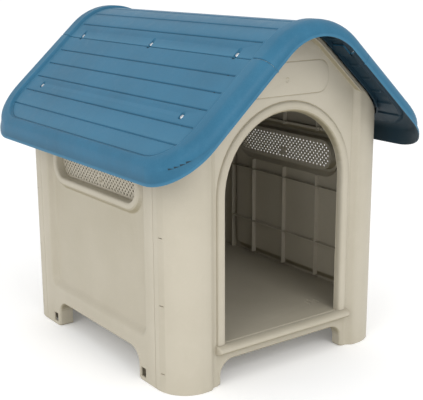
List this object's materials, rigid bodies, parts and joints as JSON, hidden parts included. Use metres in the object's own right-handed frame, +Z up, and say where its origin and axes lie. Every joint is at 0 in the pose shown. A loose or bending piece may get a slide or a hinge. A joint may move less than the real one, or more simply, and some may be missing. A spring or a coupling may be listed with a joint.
{
  "type": "plastic dog kennel",
  "caption": "Flat-pack moulded plastic kennel with a rounded blue roof, beige walls on corner feet, an arched doorway and perforated side vents.",
  "frame": {"origin": "on the ground, in the middle of the kennel, under the ridge", "axes": "+X to the right as seen by someone facing the doorway; +Y from the doorway, along the ridge, to the rear wall; +Z up"},
  "size_m": [0.606, 0.74, 0.66],
  "materials": {
    "beige_plastic": "moulded polypropylene, fine satin texture, warm beige",
    "blue_plastic": "moulded polypropylene, fine satin texture, mid blue",
    "zinc": "zinc-plated self-tapping screw"
  },
  "bodies": {
    "root": {"floor_tray": "beige_plastic", "front_panel": "beige_plastic", "rear_panel": "beige_plastic", "side_panel_left": "beige_plastic", "side_panel_right": "beige_plastic", "roof_ridge_cap": "blue_plastic", "roof_eave_left": "blue_plastic", "roof_eave_right": "blue_plastic", "seam_screw_left_front": "zinc", "seam_screw_left_middle": "zinc", "seam_screw_left_rear": "zinc", "seam_screw_right_front": "zinc", "seam_screw_right_middle": "zinc", "seam_screw_right_rear": "zinc", "eave_screw_left_front": "zinc", "eave_screw_left_rear": "zinc", "eave_screw_right_front": "zinc", "eave_screw_right_rear": "zinc"}
  },
  "joints": []
}
